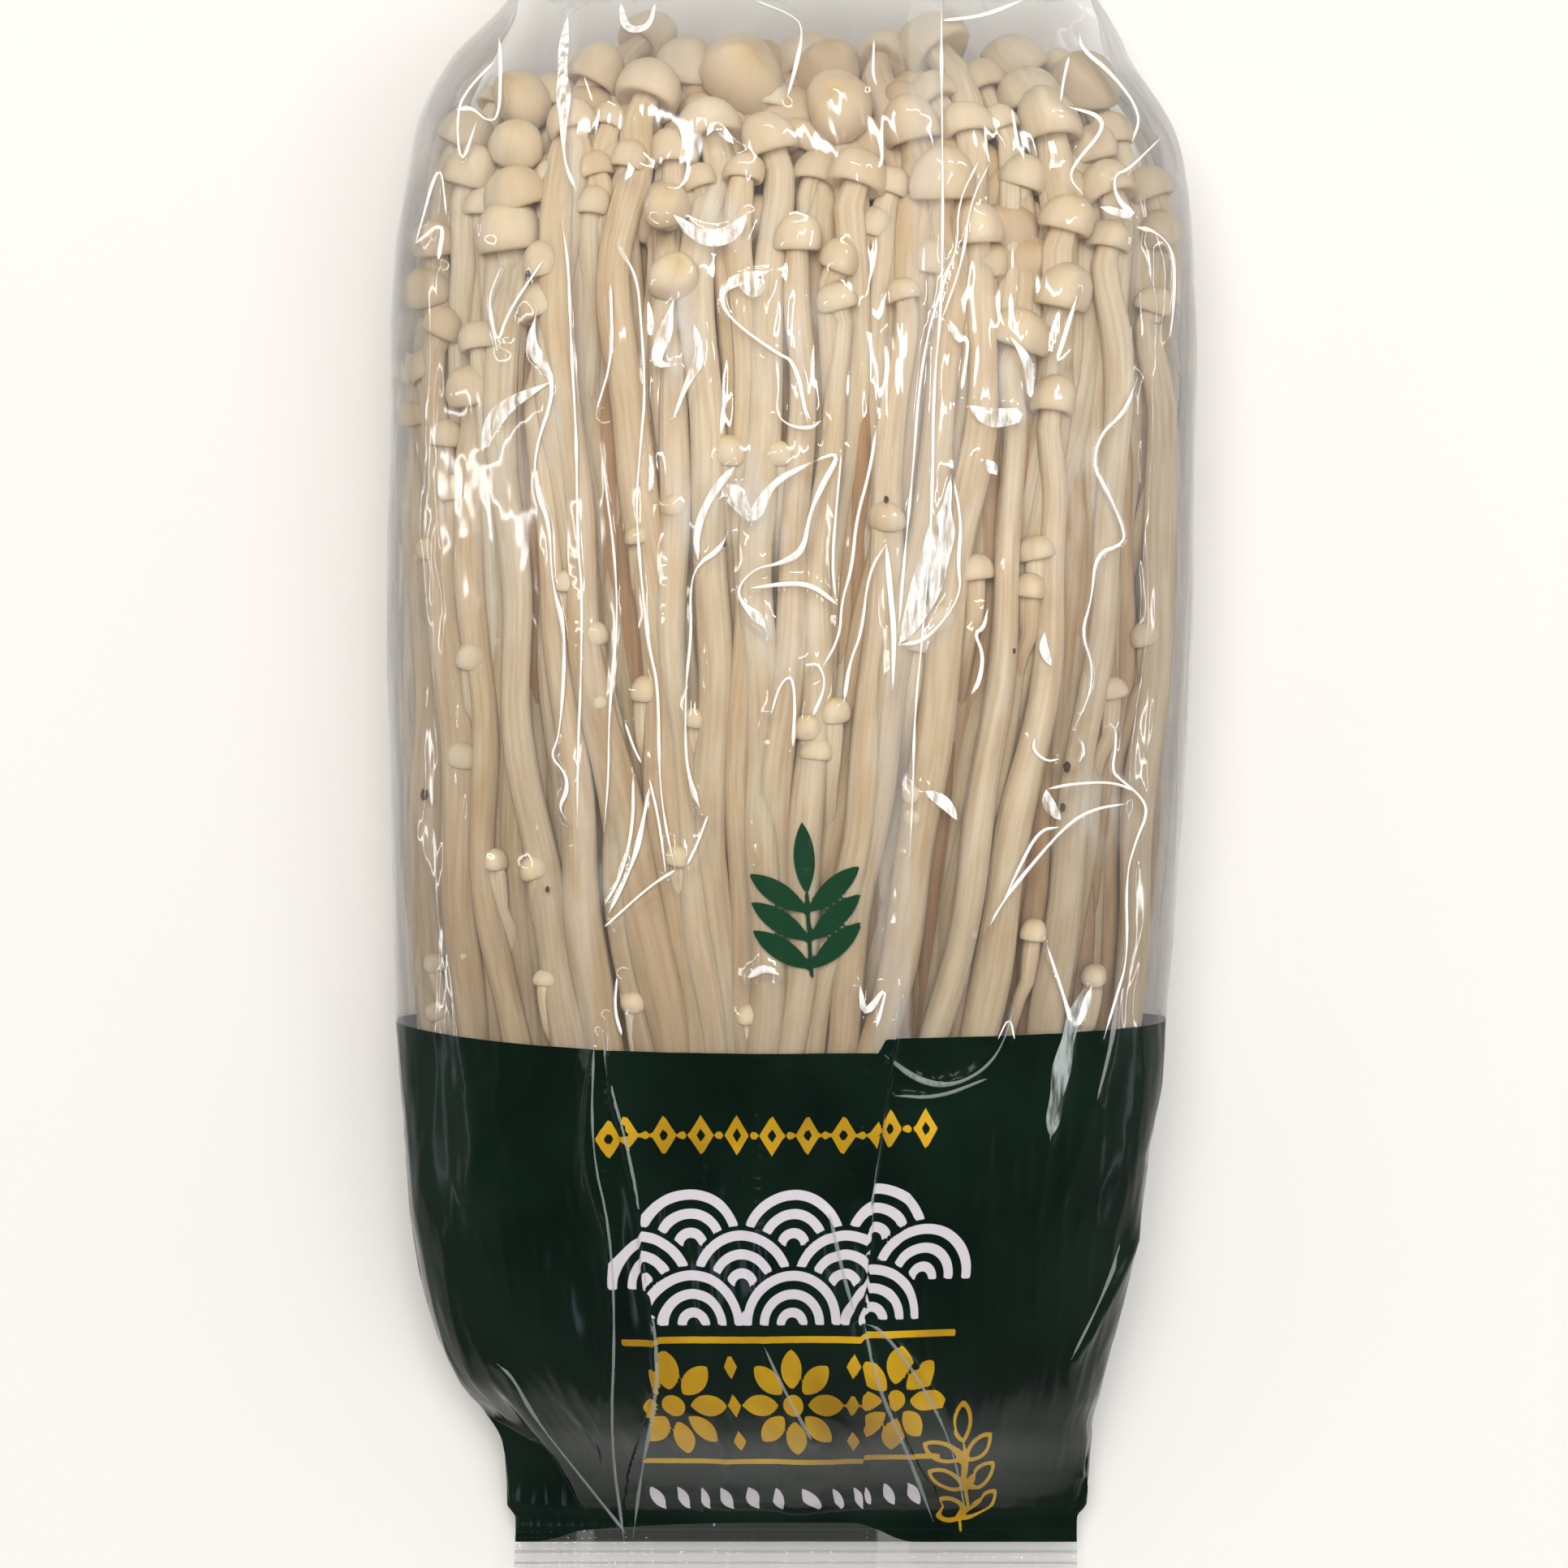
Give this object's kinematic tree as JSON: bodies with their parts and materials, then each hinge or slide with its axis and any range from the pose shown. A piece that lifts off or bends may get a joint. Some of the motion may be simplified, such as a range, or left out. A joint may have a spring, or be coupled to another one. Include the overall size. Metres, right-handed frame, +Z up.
{
  "type": "bagged enoki mushroom bunch",
  "caption": "Bunch of pale enoki mushrooms with long thin stems, lying in a tight clear film bag whose lower part is printed dark green, welded flat at both ends.",
  "frame": {"origin": "On the resting surface, under the middle of the bag's box.", "axes": "+Y runs along the stems from the root clump to the caps, +Z is up, out of the bag's front, and +X is to the right seen from above with the caps up the page."},
  "size_m": [0.0988, 0.215, 0.0397],
  "materials": {
    "mushroom_flesh": "satin",
    "clear_film": "gloss",
    "printed_film": "gloss"
  },
  "bodies": {
    "root": {"enoki_bunch": "mushroom_flesh", "film_bag": "clear_film"}
  },
  "joints": []
}
